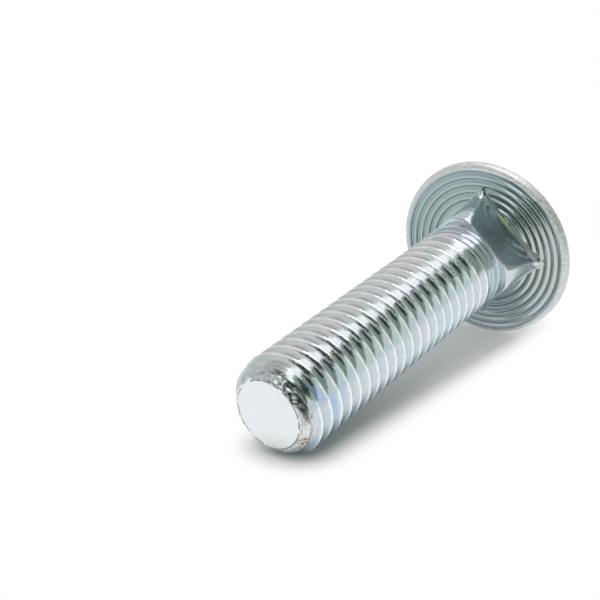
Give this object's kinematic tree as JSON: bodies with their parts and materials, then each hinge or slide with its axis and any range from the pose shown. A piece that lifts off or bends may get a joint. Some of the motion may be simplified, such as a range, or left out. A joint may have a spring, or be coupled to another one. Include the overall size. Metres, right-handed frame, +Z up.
{
  "type": "carriage bolt",
  "caption": "Zinc-plated bolt with a shallow domed head, a ringed underside, a square neck with tapered corners and a coarse right-hand thread up to the neck.",
  "frame": {"origin": "centre of the base of the bolt's box, on the surface it lies on", "axes": "+X along the bolt from its point to its head, level with the ground; +Z up. The bolt's own axis lies in the XZ plane and drops 8 degrees towards its point"},
  "size_m": [0.0576, 0.0264, 0.0261],
  "materials": {
    "zinc_plate": "bright zinc plating with a faint blue tint"
  },
  "bodies": {
    "root": {"carriage_bolt": "zinc_plate"}
  },
  "joints": []
}
